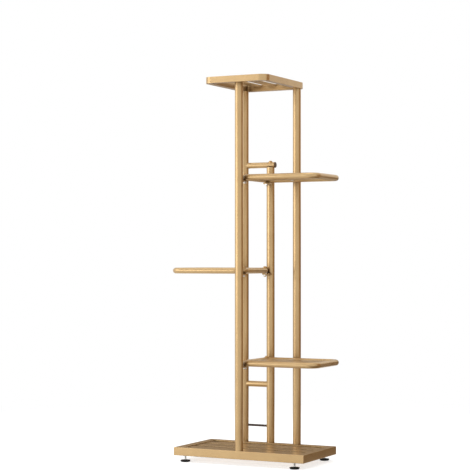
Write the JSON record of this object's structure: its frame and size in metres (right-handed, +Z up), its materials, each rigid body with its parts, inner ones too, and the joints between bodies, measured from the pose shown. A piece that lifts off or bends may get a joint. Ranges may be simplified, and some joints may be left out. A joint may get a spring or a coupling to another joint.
{
  "type": "tiered plant stand",
  "caption": "Tall tubular metal plant stand: slatted base tray on levelling feet, staggered side shelves on bent tube loops, and a rectangular top shelf.",
  "frame": {"origin": "on the floor under the middle of the base", "axes": "+Z up, +X along the long side of the base to the right, -Y to the front"},
  "size_m": [0.497, 0.2826, 1.17],
  "materials": {
    "gold_coating": "satin",
    "gold_fastener": "satin",
    "dark_rod": "satin",
    "zinc_steel": "satin",
    "black_pad": "matte",
    "brown_plug": "matte"
  },
  "bodies": {
    "stand": {"base_rail_front": "gold_coating", "base_rail_left": "gold_coating", "base_rail_rear": "gold_coating", "base_rail_right": "gold_coating", "base_slats": "gold_coating", "foot_bushes": "zinc_steel", "post_foot_bolts": "zinc_steel", "post_foot_inserts": "zinc_steel", "post_front": "gold_coating", "post_rear_left": "gold_coating", "post_rear_middle": "gold_coating", "post_rear_right": "gold_coating", "post_top_inserts": "zinc_steel", "rung_bolt": "gold_fastener", "rung_end_plug": "brown_plug", "rung_lower": "gold_coating", "rung_tie_rod": "dark_rod", "rung_upper": "gold_coating", "shelf_bolts": "gold_fastener", "shelf_left_ears": "gold_coating", "shelf_left_frame": "gold_coating", "shelf_left_slats": "gold_coating", "shelf_lower_right_ears": "gold_coating", "shelf_lower_right_frame": "gold_coating", "shelf_lower_right_slats": "gold_coating", "shelf_nuts": "zinc_steel", "shelf_rear_bolts": "gold_fastener", "shelf_rear_nuts": "zinc_steel", "shelf_upper_right_ears": "gold_coating", "shelf_upper_right_frame": "gold_coating", "shelf_upper_right_slats": "gold_coating", "shelf_washers": "gold_fastener", "top_shelf_frame": "gold_coating", "top_shelf_screws": "gold_fastener", "top_shelf_slats": "gold_coating"},
    "pad_front_left": {"foot_pad_front_left": "black_pad"},
    "stem_front_left": {"foot_stem_front_left": "zinc_steel"},
    "pad_front_right": {"foot_pad_front_right": "black_pad"},
    "stem_front_right": {"foot_stem_front_right": "zinc_steel"},
    "pad_rear_left": {"foot_pad_rear_left": "black_pad"},
    "stem_rear_left": {"foot_stem_rear_left": "zinc_steel"},
    "pad_rear_right": {"foot_pad_rear_right": "black_pad"},
    "stem_rear_right": {"foot_stem_rear_right": "zinc_steel"}
  },
  "joints": [
    {"name": "foot_front_left_height", "type": "slide", "parent": "stand", "child": "pad_front_left", "axis": [0, 0, 1], "range_m": [-0.008, 0.008]},
    {"name": "foot_front_left_turn", "type": "hinge", "parent": "pad_front_left", "child": "stem_front_left", "pos_m": [-0.1835, -0.1095, 0.004], "axis": [0, 0, 1], "range_deg": [-2881, 2881]},
    {"name": "foot_front_right_height", "type": "slide", "parent": "stand", "child": "pad_front_right", "axis": [0, 0, 1], "range_m": [-0.008, 0.008]},
    {"name": "foot_front_right_turn", "type": "hinge", "parent": "pad_front_right", "child": "stem_front_right", "pos_m": [0.1835, -0.1095, 0.004], "axis": [0, 0, 1], "range_deg": [-2881, 2881]},
    {"name": "foot_rear_left_height", "type": "slide", "parent": "stand", "child": "pad_rear_left", "axis": [0, 0, 1], "range_m": [-0.008, 0.008]},
    {"name": "foot_rear_left_turn", "type": "hinge", "parent": "pad_rear_left", "child": "stem_rear_left", "pos_m": [-0.1835, 0.1095, 0.004], "axis": [0, 0, 1], "range_deg": [-2881, 2881]},
    {"name": "foot_rear_right_height", "type": "slide", "parent": "stand", "child": "pad_rear_right", "axis": [0, 0, 1], "range_m": [-0.008, 0.008]},
    {"name": "foot_rear_right_turn", "type": "hinge", "parent": "pad_rear_right", "child": "stem_rear_right", "pos_m": [0.1835, 0.1095, 0.004], "axis": [0, 0, 1], "range_deg": [-2881, 2881]}
  ],
  "couplings": [
    {"joint": "foot_front_left_turn", "follows": "foot_front_left_height", "rad_per_m": 6283.2},
    {"joint": "foot_front_right_turn", "follows": "foot_front_right_height", "rad_per_m": 6283.2},
    {"joint": "foot_rear_left_turn", "follows": "foot_rear_left_height", "rad_per_m": 6283.2},
    {"joint": "foot_rear_right_turn", "follows": "foot_rear_right_height", "rad_per_m": 6283.2}
  ]
}
